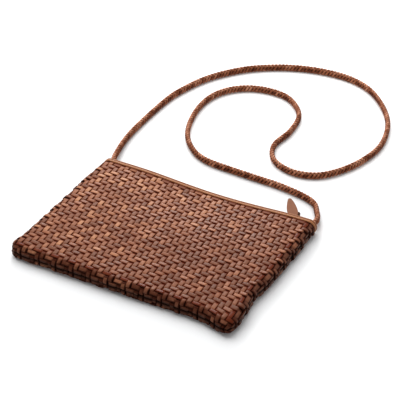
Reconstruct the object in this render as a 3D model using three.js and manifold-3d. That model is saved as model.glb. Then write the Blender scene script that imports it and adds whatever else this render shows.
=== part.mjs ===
// Woven leather shoulder bag with a zip mouth and a plaited strap, lying on its back.
// Millimetres, +Z up. X runs along the zip, +Y points out of the mouth, Z = 0 is the floor it lies on.
import * as THREE from 'three';
import { mergeVertices } from 'three/addons/utils/BufferGeometryUtils.js';
import Module from 'manifold-3d';

const wasm = await Module();
wasm.setup();

// Bag
const BAG_WIDTH = 249;
const BAG_HEIGHT = 184;
const BAG_THICKNESS = 16;
const CORNER_RADIUS = 14;
const WALL = 2.4;
const GAP = 0.3;
const EDGE_RADIUS = BAG_THICKNESS / 2;
const MOUTH_Y = BAG_HEIGHT / 2;

// The empty front lip sinks between the ends of the mouth
const SAG = 4.2;
const SAG_CENTRE_X = 15;
const SAG_HALF_SPAN = 100;
const SAG_REACH = 95;
const SAG_FROM_Z = BAG_THICKNESS / 4;
const SAG_FULL_Z = BAG_THICKNESS * 3 / 4;

// The sides widen towards the bottom, each lower corner is pushed out its own way, and the right side
// is pressed in above its corner
const TAPER = 1.6;
const EDGE_PUSHES = [
  { x: -BAG_WIDTH / 2, y: -BAG_HEIGHT / 2, pushX: -2.8, pushY: 0.8, reach: 34 },
  { x: BAG_WIDTH / 2, y: -BAG_HEIGHT / 2, pushX: 1.2, pushY: -8.6, reach: 42 },
  { x: BAG_WIDTH / 2, y: -40, pushX: -3.1, pushY: 0, reach: 34 },
];

// Mouth binding, a folded strip
const BINDING = 1;
const BINDING_BAND = 5.2;
const BINDING_EDGE_ROUND = 0.8;
const BINDING_GROOVE = 1.3;
const TONGUE = WALL - BINDING - GAP;
const BINDING_DEPTH = 2 * BINDING + TONGUE + 2 * GAP;

// Zip
const ZIP_HALF_LENGTH = 112;
const ZIP_BEHIND_MOUTH = 2.6;
const TAPE_THICKNESS = 0.9;
const TEETH_HALF_HEIGHT = 1.3;
const TEETH_THICKNESS = 2.2;
const TEETH_SLOPE = 0.2;
const SLIDER_X = 97.3;
const SLIDER_PLATE = { along: 9, across: 6.4, thick: 1.4 };
const RING_RADIUS = 2.7;
const RING_WIRE = 0.6;

// Leather pull, a strip folded through the ring: a long leaf over a short tail
const PULL_LAYER = 1.3;
const PULL_LAYER_OVERLAP = 0.1;
const PULL_HOLE_RADIUS = 1.4;
const PULL_LEAN = THREE.MathUtils.degToRad(37);
const PULL_LIFT = THREE.MathUtils.degToRad(14);
const PULL_TAIL_FAN = THREE.MathUtils.degToRad(-48);
const PULL_LEAF = { length: 25.2, baseHalf: 2.9, bellyHalf: 6 };
const PULL_TAIL = { length: 9.5, baseHalf: 2.9, bellyHalf: 4.2 };
// Handles of a leaf's side curves, as shares of its belly and of its length, and its blunt tip
const LEAF_HANDLES = [{ out: 1.25, along: 0.2 }, { out: 0.9, along: 0.6 }];
const LEAF_TIP_WIDTH = 0.7;
const LEAF_TIP_ROUND = 0.6;

// Strap: a flat plait that stands on edge, and the way it lies from the left end of the mouth to the right
const STRAP_TALL = 8;
const STRAP_THICK = 5;
const STRAP_SIDES = 10;
const STRAP_STEPS = 180;
const STRAP_PINCH = { length: 16, share: 0.62 };
const STRAP_TENSION = 0.5;
const STRAP_ROUTE = [
  [-115.8, 87, 8], [-116.6, 93, 8], [-124.8, 114, 6.2], [-133.5, 160, 4.2], [-133.2, 236, 4.2],
  [-126.2, 273, 4.2], [-114.8, 303, 4.2], [-97.4, 329, 4.2], [-76.6, 349.5, 4.2], [-46, 368, 4.2],
  [-10, 379, 4.2], [28.5, 379.5, 4.2], [61, 366, 4.2], [90.5, 336.5, 4.2], [108.5, 304.5, 4.2],
  [116.6, 265.5, 4.2], [111, 228.5, 4.2], [97.4, 199, 4.2], [79.4, 180.5, 4.2], [54, 175.5, 4.2],
  [28.4, 186.5, 4.2], [15.2, 212, 4.2], [18, 246, 4.2], [11.6, 281.5, 4.2], [-13.2, 307, 4.2],
  [-43.6, 311.5, 4.2], [-71.2, 301, 4.2], [-89.4, 277.5, 4.2], [-93.8, 243.5, 4.2], [-84, 200.5, 4.2],
  [-66, 171, 4.2], [-37.4, 152, 4.2], [9.5, 147.5, 4.2], [59.5, 145, 4.2], [97, 136, 4.2],
  [111.3, 118.6, 5], [117.1, 107, 6.4], [118.3, 99, 7.4], [118.5, 92.4, 8], [117.4, 86, 8],
];

// Facets
const FLAT_COLUMNS = 14;
const FLAT_ROWS = 9;
const EDGE_STEPS = 5;
const RING_FACETS = { wire: 8, round: 20 };
const LEAF_STEPS = 8;
const WELD = 1e-4;

const LEATHER = { roughness: 0.55, metalness: 0 };
const wovenMaterial = new THREE.MeshStandardMaterial({ color: 0x7a4a38, ...LEATHER });
const bindingMaterial = new THREE.MeshStandardMaterial({ color: 0x9a6038, ...LEATHER });
const strapMaterial = new THREE.MeshStandardMaterial({ color: 0x6a3420, ...LEATHER });
const pullMaterial = new THREE.MeshStandardMaterial({ color: 0x7d4c38, ...LEATHER });
const tapeMaterial = new THREE.MeshStandardMaterial({ color: 0x4a2c20, roughness: 0.85, metalness: 0 });
const metalMaterial = new THREE.MeshStandardMaterial({ color: 0x9c7b45, roughness: 0.35, metalness: 1 });

const bag = new THREE.Group();

function addPiece(name, geometry, material) {
  const mesh = new THREE.Mesh(geometry, material);
  mesh.name = name;
  bag.add(mesh);
  return mesh;
}

function smoothstep(low, high, value) {
  return THREE.MathUtils.smoothstep(value, low, high);
}

// How far the front lip has sunk at a place seen from above
function sagAt(x, y) {
  const along = Math.min(Math.abs(x - SAG_CENTRE_X) / SAG_HALF_SPAN, 1);
  const dip = (1 - along * along) ** 2;
  return SAG * dip * smoothstep(MOUTH_Y - SAG_REACH, MOUTH_Y, y);
}

// The sag moves the front wall only, the taper and the pushes both walls alike
function settle([x, y, z]) {
  const frontShare = smoothstep(SAG_FROM_Z, SAG_FULL_Z, z);
  const lower = z - sagAt(x, y) * frontShare;
  let wideX = x * (1 + TAPER / BAG_WIDTH * (1 - y / MOUTH_Y));
  let wideY = y;
  for (const push of EDGE_PUSHES) {
    const share = smoothstep(0, push.reach, push.reach - Math.hypot(x - push.x, y - push.y));
    wideX += push.pushX * share;
    wideY += push.pushY * share;
  }
  return [wideX, wideY, lower];
}

// Half-shell laid out flat: u across, v up, both measured along the leather from the bag's middle.
// Past the corner circle's centre the leather turns over the edge, and a square corner of it is
// drawn into a quarter disc, so that it covers the rounded corner without a fold.
const CORNER_X = BAG_WIDTH / 2 - CORNER_RADIUS;
const CORNER_Y = BAG_HEIGHT / 2 - CORNER_RADIUS;
const FLAT_CORNER = CORNER_RADIUS - EDGE_RADIUS;
const TURN_LENGTH = FLAT_CORNER + EDGE_RADIUS * Math.PI / 2;

function shellPoint(u, v, depth) {
  const across = Math.max(Math.abs(u) - CORNER_X, 0);
  const down = Math.max(-v - CORNER_Y, 0);
  const outX = across * Math.sqrt(1 - (down / TURN_LENGTH) ** 2 / 2);
  const outY = down * Math.sqrt(1 - (across / TURN_LENGTH) ** 2 / 2);
  const out = Math.hypot(outX, outY);
  const turn = Math.max(out - FLAT_CORNER, 0) / EDGE_RADIUS;
  const reach = Math.min(out, FLAT_CORNER) + (EDGE_RADIUS - depth) * Math.sin(turn);
  const share = out > 0 ? reach / out : 0;
  const x = Math.sign(u) * (Math.min(Math.abs(u), CORNER_X) + outX * share);
  const y = Math.max(v, -CORNER_Y) - outY * share;
  const z = EDGE_RADIUS + (EDGE_RADIUS - depth) * Math.cos(turn);
  return [x, y, z];
}

const SIDES = {
  front: (z) => z,
  back: (z) => BAG_THICKNESS - z,
};

function bagPoint(side, u, v, depth, seamGap = 0) {
  const [x, y, z] = shellPoint(u, v, depth);
  return settle([x, y, SIDES[side](Math.max(z, EDGE_RADIUS + seamGap / 2))]);
}

function evenSteps(from, to, count) {
  return Array.from({ length: count + 1 }, (_, i) => from + (to - from) * i / count);
}

// Columns from the left seam to the right one
const turnSteps = evenSteps(FLAT_CORNER, TURN_LENGTH, EDGE_STEPS);
const rightTurn = turnSteps.map((step) => CORNER_X + step);
const leftTurn = rightTurn.map((u) => -u).reverse();
const COLUMNS = [...leftTurn, ...evenSteps(-CORNER_X, CORNER_X, FLAT_COLUMNS), ...rightTurn];

// Rows from the bottom seam to the mouth. Near the mouth the outside steps in under the binding.
const BINDING_FOOT = MOUTH_Y - BINDING_BAND;
const ROWS = [
  ...turnSteps.map((step) => ({ v: -CORNER_Y - step, sunk: 0 })).reverse(),
  ...evenSteps(-CORNER_Y, BINDING_FOOT - BINDING_GROOVE, FLAT_ROWS).map((v) => ({ v, sunk: 0 })),
  { v: BINDING_FOOT - GAP, sunk: BINDING + GAP },
  { v: MOUTH_Y - BINDING - GAP, sunk: BINDING + GAP },
];

function meshOf(points, triangles) {
  const geometry = new THREE.BufferGeometry();
  geometry.setAttribute('position', new THREE.Float32BufferAttribute(points.flat(), 3));
  geometry.setIndex(triangles.flat());
  geometry.computeVertexNormals();
  return geometry;
}

// Closed wall: an outer and an inner sheet of the same grid, joined round their rim
function panelGeometry(side) {
  const wide = COLUMNS.length;
  const tall = ROWS.length;
  const sheet = wide * tall;
  const points = [];
  for (const isInner of [false, true]) {
    for (const row of ROWS) {
      const depth = isInner ? WALL : row.sunk;
      for (const u of COLUMNS) points.push(bagPoint(side, u, row.v, depth, GAP));
    }
  }
  const at = (i, j) => j * wide + i;
  const triangles = [];
  for (let j = 0; j < tall - 1; j++) {
    for (let i = 0; i < wide - 1; i++) {
      const [a, b, c, d] = [at(i, j), at(i + 1, j), at(i + 1, j + 1), at(i, j + 1)];
      // the diagonal starts at the rounded corner on either half
      const cell = i < (wide - 1) / 2 ? [[a, b, c], [a, c, d]] : [[a, b, d], [b, c, d]];
      for (const [p, q, r] of cell) triangles.push([p, q, r], [sheet + r, sheet + q, sheet + p]);
    }
  }
  const rim = [];
  for (let i = 0; i < wide - 1; i++) rim.push(at(i, 0));
  for (let j = 0; j < tall - 1; j++) rim.push(at(wide - 1, j));
  for (let i = wide - 1; i > 0; i--) rim.push(at(i, tall - 1));
  for (let j = tall - 1; j > 0; j--) rim.push(at(0, j));
  rim.forEach((a, k) => {
    const b = rim[(k + 1) % rim.length];
    triangles.push([sheet + a, sheet + b, b], [sheet + a, b, a]);
  });
  const facing = side === 'front' ? triangles : triangles.map(([p, q, r]) => [p, r, q]);
  return meshOf(points, facing);
}

// Closed ring or bar through sections whose outlines run counterclockwise seen from ahead
function loftGeometry(sections, isLoop) {
  const count = sections[0].length;
  const last = sections.length - 1;
  const triangles = [];
  const spans = isLoop ? sections.length : last;
  for (let s = 0; s < spans; s++) {
    const here = s * count;
    const next = ((s + 1) % sections.length) * count;
    for (let k = 0; k < count; k++) {
      const m = (k + 1) % count;
      triangles.push([here + k, next + m, next + k], [here + k, here + m, next + m]);
    }
  }
  if (!isLoop) {
    const outline = sections[0].map(([, y, z]) => new THREE.Vector2(y, z));
    for (const face of THREE.ShapeUtils.triangulateShape(outline, [])) {
      const isTurned = THREE.ShapeUtils.isClockWise(face.map((k) => outline[k]));
      const [a, b, c] = isTurned ? [...face].reverse() : face;
      triangles.push([c, b, a], [last * count + a, last * count + b, last * count + c]);
    }
  }
  return meshOf(sections.flat(), triangles);
}

// Folded strip over the raw edges of both panels, one loop round the mouth
function bindingGeometry() {
  const round = BINDING_EDGE_ROUND;
  const outer = MOUTH_Y;
  const web = MOUTH_Y - BINDING;
  const far = BINDING_DEPTH;
  const bevel = round * (1 - Math.SQRT1_2);
  const profile = [
    { depth: BINDING, y: BINDING_FOOT },
    { depth: BINDING, y: web },
    { depth: far - BINDING, y: web },
    { depth: far - BINDING, y: BINDING_FOOT },
    { depth: far, y: BINDING_FOOT },
    { depth: far, y: outer - round },
    { depth: far - bevel, y: outer - bevel },
    { depth: far - round, y: outer },
    { depth: round, y: outer },
    { depth: bevel, y: outer - bevel },
    { depth: 0, y: outer - round },
    { depth: 0, y: BINDING_FOOT },
  ];
  const front = COLUMNS.map((u) => ['front', u]);
  const back = COLUMNS.slice(1, -1).reverse().map((u) => ['back', u]);
  const sections = [...front, ...back].map(([side, u]) => (
    profile.map(({ depth, y }) => bagPoint(side, u, y, depth))
  ));
  return loftGeometry(sections, true);
}

// Height of the middle of the zip between the lips, and half the room that it has there
function zipRoom(x) {
  const sag = sagAt(x, MOUTH_Y);
  return { middle: EDGE_RADIUS - sag / 2, half: EDGE_RADIUS - BINDING_DEPTH - GAP - sag / 2 };
}

// Tape with the closed row of teeth along its middle
function zipGeometry() {
  const y = MOUTH_Y - ZIP_BEHIND_MOUTH;
  const tape = TAPE_THICKNESS / 2;
  const teeth = TEETH_THICKNESS / 2;
  const sections = evenSteps(-ZIP_HALF_LENGTH, ZIP_HALF_LENGTH, FLAT_COLUMNS).map((x) => {
    const { middle, half } = zipRoom(x);
    const foot = TEETH_HALF_HEIGHT + TEETH_SLOPE;
    const upper = [[teeth, TEETH_HALF_HEIGHT], [tape, foot], [tape, half]];
    const upperBack = upper.map(([out, up]) => [-out, up]).reverse();
    const lower = [...upper, ...upperBack].map(([out, up]) => [-out, -up]);
    const outline = [...upper, ...upperBack, ...lower];
    return outline.map(([out, up]) => [x, y + out, middle + up]);
  });
  return loftGeometry(sections, false);
}

function solidOf(geometry) {
  const plain = geometry.index ? geometry.clone() : geometry;
  plain.deleteAttribute('normal');
  plain.deleteAttribute('uv');
  const merged = mergeVertices(plain, WELD);
  return new wasm.Manifold(new wasm.Mesh({
    numProp: 3,
    vertProperties: new Float32Array(merged.attributes.position.array),
    triVerts: new Uint32Array(merged.index.array),
  }));
}

function geometryOf(solid) {
  const { vertProperties, triVerts } = solid.getMesh();
  const geometry = new THREE.BufferGeometry();
  geometry.setAttribute('position', new THREE.BufferAttribute(vertProperties, 3));
  geometry.setIndex(new THREE.BufferAttribute(triVerts, 1));
  geometry.computeVertexNormals();
  return geometry;
}

function joined(first, second) {
  return geometryOf(solidOf(first).add(solidOf(second)));
}

// Slider plate over the teeth, with the ring that carries the pull soldered to it
const PLATE_INNER_Y = MOUTH_Y - ZIP_BEHIND_MOUTH + TEETH_THICKNESS / 2 + GAP;
const RING_CENTRE = new THREE.Vector3(
  SLIDER_X,
  PLATE_INNER_Y + SLIDER_PLATE.thick + RING_RADIUS - RING_WIRE / 2,
  zipRoom(SLIDER_X).middle,
);

function sliderGeometry() {
  const plate = new THREE.BoxGeometry(SLIDER_PLATE.along, SLIDER_PLATE.thick, SLIDER_PLATE.across);
  plate.translate(SLIDER_X, PLATE_INNER_Y + SLIDER_PLATE.thick / 2, RING_CENTRE.z);
  const ring = new THREE.TorusGeometry(RING_RADIUS, RING_WIRE, RING_FACETS.wire, RING_FACETS.round);
  ring.rotateY(Math.PI / 2).rotateZ(PULL_LEAN).translate(...RING_CENTRE);
  return joined(plate, ring);
}

// One leather leaf in its own flat frame: hole at the origin, tip along +Y
function leafGeometry({ length, baseHalf, bellyHalf }, bottom) {
  const tipHalf = baseHalf * LEAF_TIP_WIDTH;
  const tipRise = tipHalf * LEAF_TIP_ROUND;
  const [low, high] = LEAF_HANDLES.map(({ out, along }) => ({ x: bellyHalf * out, y: length * along }));
  const leaf = new THREE.Shape();
  leaf.moveTo(-baseHalf, 0);
  leaf.absarc(0, 0, baseHalf, Math.PI, 2 * Math.PI, false);
  leaf.bezierCurveTo(low.x, low.y, high.x, high.y, tipHalf, length - tipRise);
  leaf.quadraticCurveTo(0, length + tipRise, -tipHalf, length - tipRise);
  leaf.bezierCurveTo(-high.x, high.y, -low.x, low.y, -baseHalf, 0);
  const hole = new THREE.Path();
  hole.absarc(0, 0, PULL_HOLE_RADIUS, 0, 2 * Math.PI, true);
  leaf.holes.push(hole);
  const plate = new THREE.ExtrudeGeometry(leaf, {
    depth: PULL_LAYER, bevelEnabled: false, curveSegments: LEAF_STEPS,
  });
  return plate.translate(0, 0, bottom);
}

function pullGeometry() {
  const leaf = leafGeometry(PULL_LEAF, 0);
  const tail = leafGeometry(PULL_TAIL, PULL_LAYER_OVERLAP - PULL_LAYER).rotateZ(PULL_TAIL_FAN);
  const seat = new THREE.Vector3(0, RING_RADIUS, 0).applyAxisAngle(new THREE.Vector3(0, 0, 1), PULL_LEAN);
  const pull = joined(leaf, tail);
  return pull.rotateX(PULL_LIFT).rotateZ(PULL_LEAN).translate(...seat.add(RING_CENTRE));
}

// The strap's right end is pressed narrower where it goes in beside the closed end of the zip
function pinchEnd(geometry, inner, end) {
  const { length, share } = STRAP_PINCH;
  const axis = inner.clone().sub(end).normalize();
  const places = geometry.getAttribute('position');
  const place = new THREE.Vector3();
  for (let k = 0; k < places.count; k += 1) {
    place.fromBufferAttribute(places, k).sub(end);
    if (place.length() < length + STRAP_TALL) {
      const onAxis = axis.clone().multiplyScalar(place.dot(axis));
      const width = share + (1 - share) * smoothstep(0, length, place.dot(axis));
      place.sub(onAxis).multiplyScalar(width).add(onAxis).add(end);
      places.setXYZ(k, place.x, place.y, place.z);
    }
  }
}

// Plaited strap: an oval tube with its long axis upright
function strapGeometry() {
  const points = STRAP_ROUTE.map(([x, y, z]) => new THREE.Vector3(x, y, z));
  const route = new THREE.CatmullRomCurve3(points, false, 'catmullrom', STRAP_TENSION);
  const section = new THREE.Shape(Array.from({ length: STRAP_SIDES }, (_, k) => {
    const angle = 2 * Math.PI * k / STRAP_SIDES;
    return new THREE.Vector2(Math.cos(angle) * STRAP_TALL / 2, Math.sin(angle) * STRAP_THICK / 2);
  }));
  const geometry = new THREE.ExtrudeGeometry(section, {
    steps: STRAP_STEPS, extrudePath: route, bevelEnabled: false,
  });
  pinchEnd(geometry, ...points.slice(-2));
  return geometry;
}

addPiece('front_panel', panelGeometry('front'), wovenMaterial);
addPiece('back_panel', panelGeometry('back'), wovenMaterial);
addPiece('mouth_binding', bindingGeometry(), bindingMaterial);
addPiece('zip_chain', zipGeometry(), tapeMaterial);
addPiece('zip_slider', sliderGeometry(), metalMaterial);
addPiece('zip_pull', pullGeometry(), pullMaterial);
addPiece('strap', strapGeometry(), strapMaterial);

export default bag;
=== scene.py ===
# Woven leather shoulder bag: the finish of each piece, made over the solids of its frame.
import math

import bpy
from mathutils import Matrix, Vector


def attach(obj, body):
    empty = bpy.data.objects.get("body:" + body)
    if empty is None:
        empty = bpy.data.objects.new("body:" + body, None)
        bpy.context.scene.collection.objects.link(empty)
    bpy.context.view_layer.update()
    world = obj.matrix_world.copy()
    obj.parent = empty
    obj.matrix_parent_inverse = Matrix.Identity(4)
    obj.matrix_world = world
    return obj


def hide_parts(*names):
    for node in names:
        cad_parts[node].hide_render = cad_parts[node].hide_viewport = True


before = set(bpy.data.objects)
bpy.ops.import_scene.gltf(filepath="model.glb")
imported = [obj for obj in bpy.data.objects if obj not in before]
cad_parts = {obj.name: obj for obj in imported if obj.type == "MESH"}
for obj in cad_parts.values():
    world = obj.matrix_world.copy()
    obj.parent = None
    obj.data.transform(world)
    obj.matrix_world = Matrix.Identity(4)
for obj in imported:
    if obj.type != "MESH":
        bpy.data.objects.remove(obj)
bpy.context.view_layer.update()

MM = 0.001

# Bag, the same driving sizes as its solids
BAG_WIDTH = 249 * MM
BAG_HEIGHT = 184 * MM
BAG_THICKNESS = 16 * MM
CORNER_RADIUS = 14 * MM
WALL = 2.4 * MM
GAP = 0.3 * MM
EDGE_RADIUS = BAG_THICKNESS / 2
MOUTH_Y = BAG_HEIGHT / 2

# The empty front lip sinks between the ends of the mouth
SAG = 4.2 * MM
SAG_CENTRE_X = 15 * MM
SAG_HALF_SPAN = 100 * MM
SAG_REACH = 95 * MM
SAG_FROM_Z = BAG_THICKNESS / 4
SAG_FULL_Z = BAG_THICKNESS * 3 / 4

# The sides widen towards the bottom, each lower corner is pushed out its own way, and the right side
# is pressed in above its corner
TAPER = 1.6 * MM
EDGE_PUSHES = (
    {"x": -BAG_WIDTH / 2, "y": -BAG_HEIGHT / 2, "push_x": -2.8 * MM, "push_y": 0.8 * MM, "reach": 34 * MM},
    {"x": BAG_WIDTH / 2, "y": -BAG_HEIGHT / 2, "push_x": 1.2 * MM, "push_y": -8.6 * MM, "reach": 42 * MM},
    {"x": BAG_WIDTH / 2, "y": -40 * MM, "push_x": -3.1 * MM, "push_y": 0, "reach": 34 * MM},
)

# Half-shell laid out flat: u across, v up, both measured along the leather from the bag's middle
CORNER_X = BAG_WIDTH / 2 - CORNER_RADIUS
CORNER_Y = BAG_HEIGHT / 2 - CORNER_RADIUS
FLAT_CORNER = CORNER_RADIUS - EDGE_RADIUS
TURN_LENGTH = FLAT_CORNER + EDGE_RADIUS * math.pi / 2
SEAM_U = CORNER_X + TURN_LENGTH
SEAM_V = -CORNER_Y - TURN_LENGTH

# Mouth binding, a strip folded over the weave, which is pressed to a thin tongue inside the fold
BINDING = 1 * MM
BINDING_BAND = 5.2 * MM
BINDING_GROOVE = 1.3 * MM
BINDING_FOOT = MOUTH_Y - BINDING_BAND
BINDING_DEPTH = WALL + BINDING + GAP
TONGUE = WALL - BINDING - GAP

# Weave: uprights run from the bottom seam to the mouth, and crosswise strips from side to side
UPRIGHTS = 53
CROSSWISE = 38
WEAVE_TOP = MOUTH_Y - BINDING - GAP
UPRIGHT_PITCH = 2 * SEAM_U / UPRIGHTS
CROSSWISE_PITCH = (WEAVE_TOP - SEAM_V) / CROSSWISE
STEPS_A_CROSSING = 5
TWILL_PERIOD = 4
SIDES = {"front": 1.0, "back": -1.0}

# Strips: bends, slips and the twill's start are in crossings, arch and swell in shares of a strip's rise
# from mid wall
WEAVE_SIZES = {
    "Strip Width": 4.8 * MM, "Strip Thickness": 1.2 * MM, "Bend Length": 0.2, "Arch": 0.07,
    "Wobble": 0.2 * MM, "Tilt": 0.4 * MM, "Lumps": 0.8 * MM, "Edge Swell": 0.9, "Edge Dome": 0.6 * MM,
    "Twill Start": 2.0,
}
WEAVE_SEEDS = {"front_uprights": 3, "front_crosswise": 13, "back_uprights": 7, "back_crosswise": 17}
SLIPS = {"uprights": 0.12, "crosswise": -0.06}

# Share of a bend that lies past the crossing, and a strip's sideways wave
BEND_PAST = 0.2
WAVE_RATE = 0.7
WAVE_START = 9.0
WAVE_SHARE = 0.5

# Numbers set aside for the stretches of one strip, and a shift that keeps them all above zero
STRETCH_NUMBERS = 64.0
STRETCH_START = 8.0

# Seam, where the strips tuck in, with nearly black painted shade in its crease
SEAM_TUCK = 1.8 * MM
SEAM_TUCK_LENGTH = 3.2 * MM
SEAM_TUCK_CHANGE = 0.4
SEAM_SHADE_FULL = 0.7 * MM
SEAM_SHADE_FADE = 2.6 * MM

# Edge, where the strips swell and turn over, with painted shade on its bottom wall, less on the right side
# and most at the right lower corner, more on the back, and the strip of dark knots along it, partly painted
# shade, counted from the seam
EDGE_FROM = 7 * MM
EDGE_TO = 15 * MM
EDGE_STRIP = 2.5
EDGE_SHADES = {"front": 0.9, "back": 1.0}
RIGHT_SHADE = 0.3
CORNER_SHADE = 1.6
CORNER_FROM = 14 * MM
CORNER_TO = 27 * MM

# Painted shadow of the binding on the weave beside it, from where it begins to where it is full
SHADE_FROM = BINDING_FOOT - 3.38 * MM
SHADE_TO = BINDING_FOOT - 1.56 * MM

# Zip: teeth that widen from root to head, their widths in pitches, and the tapes behind them
ZIP_HALF_LENGTH = 112 * MM
ZIP_Y = MOUTH_Y - 2.6 * MM
TOOTH_THICKNESS = 2.2 * MM
TOOTH_PITCH = 1.25 * MM
TOOTH_ROOT = 1.5 * MM
TOOTH_HEAD = -0.35 * MM
TOOTH_ROOT_WIDTH = 0.62
TOOTH_HEAD_WIDTH = 0.9
TOOTH_WIDENS_FROM = 0.4
TOOTH_WIDENS_TO = 0.8
TOOTH_STEPS = 3
TAPE_THICKNESS = 0.9 * MM
TAPE_EDGE = TOOTH_ROOT - 0.4 * MM
TAPE_STEPS = 90

# Slider and its ring
SLIDER_X = 97.3 * MM
SLIDER_LENGTH = 9 * MM
SLIDER_WIDTH = 6.4 * MM
SLIDER_THICKNESS = 1.4 * MM
SLIDER_ROUNDING = 0.4 * MM
SLIDER_NARROWING = 0.1
SLIDER_SQUARENESS = 0.45
SLIDER_POINTS = 48
RING_RADIUS = 2.7 * MM
RING_WIRE = 0.6 * MM
RING_STEPS = 48
WIRE_POINTS = 12

# Pull: a leaf on the ring, and its shorter tail beneath, coloured dark as painted shade
PULL_LAYER = 1.3 * MM
PULL_LAYER_OVERLAP = 0.1 * MM
PULL_ROUNDING = 0.35 * MM
PULL_HOLE_RADIUS = 1.4 * MM
PULL_HOLE_POINTS = 24
PULL_LEAN = math.radians(37)
PULL_LIFT = math.radians(14)
PULL_TAIL_FAN = math.radians(-48)
PULL_LEAF = {"length": 25.2 * MM, "base": 2.9 * MM, "belly": 6 * MM}
PULL_TAIL = {"length": 9.5 * MM, "base": 2.9 * MM, "belly": 4.2 * MM}

# Outline of a leaf: its tip in shares of its base, its shoulder and crown in shares of the tip, and the two
# handles of its side in shares of its belly and its length
LEAF_TIP = 0.7
LEAF_SHOULDER = 0.6
LEAF_CROWN = 0.5
LEAF_LOW = (1.25, 0.2)
LEAF_HIGH = (0.9, 0.6)
LEAF_SIDE_STEPS = 24
LEAF_TIP_STEPS = 6
LEAF_FOOT_STEPS = 16

# Strap: eight strands plaited round an oval that stands on edge, their depth and rise in thicknesses. The
# plait has painted light along its upper and lower edge and painted shade on its broad faces, and the route
# of its middle is in mm.
STRAP_TALL = 8 * MM
STRAP_THICK = 5 * MM
STRANDS = 8
STRAND_WIDTH = 3.1 * MM
STRAND_THICKNESS = 1.4 * MM
STRAND_DEPTH = 0.6
STRAND_RISE = 0.4
STRAND_NUMBERS = 1024.0
STRAP_SEED = 5
PLAIT_PITCH = 16.5 * MM
PLAIT_SQUARENESS = 1.8
STEPS_A_TURN = 20
LIT_EDGES_FROM = 0.25
LIT_EDGES_TO = 0.95
PINCH_LENGTH = 16 * MM
PINCH_SHARE = 0.62
STRAP_ROUTE = (
    (-115.8, 87, 8), (-116.6, 93, 8), (-124.8, 114, 6.2), (-133.5, 160, 4.2), (-133.2, 236, 4.2),
    (-126.2, 273, 4.2), (-114.8, 303, 4.2), (-97.4, 329, 4.2), (-76.6, 349.5, 4.2), (-46, 368, 4.2),
    (-10, 379, 4.2), (28.5, 379.5, 4.2), (61, 366, 4.2), (90.5, 336.5, 4.2), (108.5, 304.5, 4.2),
    (116.6, 265.5, 4.2), (111, 228.5, 4.2), (97.4, 199, 4.2), (79.4, 180.5, 4.2), (54, 175.5, 4.2),
    (28.4, 186.5, 4.2), (15.2, 212, 4.2), (18, 246, 4.2), (11.6, 281.5, 4.2), (-13.2, 307, 4.2),
    (-43.6, 311.5, 4.2), (-71.2, 301, 4.2), (-89.4, 277.5, 4.2), (-93.8, 243.5, 4.2), (-84, 200.5, 4.2),
    (-66, 171, 4.2), (-37.4, 152, 4.2), (9.5, 147.5, 4.2), (59.5, 145, 4.2), (97, 136, 4.2),
    (111.3, 118.6, 5), (117.1, 107, 6.4), (118.3, 99, 7.4), (118.5, 92.4, 8), (117.4, 86, 8),
)
ROUTE_STEPS = 16
FLOOR_CLEARANCE = 0.1 * MM

# View of the bag
CAMERA_TARGET = Vector((-8.42, 88.4, 0)) * MM
CAMERA_AZIMUTH = math.radians(28.58)
CAMERA_ELEVATION = math.radians(34.63)
CAMERA_DISTANCE = 1866.2 * MM
CAMERA_LENS = 161.7
CAMERA_SENSOR = 36


# Numbers worked out in a node tree

class Field:
    """A number that a node tree works out at each point. Arithmetic on it adds Math nodes to the tree."""

    def __init__(self, socket):
        self.socket = socket

    @property
    def tree(self):
        return self.socket.id_data

    def __add__(self, other):
        return calc("ADD", self, other)

    def __radd__(self, other):
        return calc("ADD", other, self)

    def __sub__(self, other):
        return calc("SUBTRACT", self, other)

    def __rsub__(self, other):
        return calc("SUBTRACT", other, self)

    def __mul__(self, other):
        return calc("MULTIPLY", self, other)

    def __rmul__(self, other):
        return calc("MULTIPLY", other, self)

    def __truediv__(self, other):
        return calc("DIVIDE", self, other)

    def __neg__(self):
        return calc("MULTIPLY", self, -1.0)

    def __abs__(self):
        return calc("ABSOLUTE", self)

    def squared(self):
        return calc("MULTIPLY", self, self)

    def at_least(self, low):
        return calc("MAXIMUM", self, low)

    def at_most(self, high):
        return calc("MINIMUM", self, high)


def feed(socket, value):
    """Links a field to a socket, or sets the socket to a plain value."""
    if isinstance(value, Field):
        socket.id_data.links.new(value.socket, socket)
    else:
        socket.default_value = value


def calc(operation, *values):
    tree = next(value.tree for value in values if isinstance(value, Field))
    node = tree.nodes.new("ShaderNodeMath")
    node.operation = operation
    for socket, value in zip(node.inputs, values):
        feed(socket, value)
    return Field(node.outputs[0])


def open_socket(sockets, name):
    return next(socket for socket in sockets if socket.name == name and socket.enabled)


def add_node(tree, kind, inputs=None, **settings):
    node = tree.nodes.new(kind)
    for name, value in settings.items():
        setattr(node, name, value)
    for name, value in (inputs or {}).items():
        feed(open_socket(node.inputs, name), value)
    return node


def result(node, name=None):
    return Field(open_socket(node.outputs, name) if name else node.outputs[0])


def smoothstep(value, low, high):
    inputs = {"Value": value, "From Min": low, "From Max": high}
    node = add_node(value.tree, "ShaderNodeMapRange", inputs, interpolation_type="SMOOTHSTEP")
    return result(node, "Result")


def mix(first, second, share):
    return first + (second - first) * share


def sine(angle):
    return calc("SINE", angle)


def cosine(angle):
    return calc("COSINE", angle)


def root(value):
    return calc("SQRT", value)


def separated(vector):
    """The X, Y and Z of a vector, each as a field."""
    parts = add_node(vector.tree, "ShaderNodeSeparateXYZ", {"Vector": vector})
    return [result(parts, axis) for axis in "XYZ"]


# Geometry trees

def new_tree(name, sizes):
    """An empty geometry tree with a named input for each size, and a field for each input."""
    tree = bpy.data.node_groups.new(name, "GeometryNodeTree")
    tree.interface.new_socket("Geometry", in_out="OUTPUT", socket_type="NodeSocketGeometry")
    for label, kind in sizes.items():
        tree.interface.new_socket(label, in_out="INPUT", socket_type="NodeSocket" + kind)
    source = tree.nodes.new("NodeGroupInput")
    return tree, {label: Field(source.outputs[label]) for label in sizes}


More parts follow.
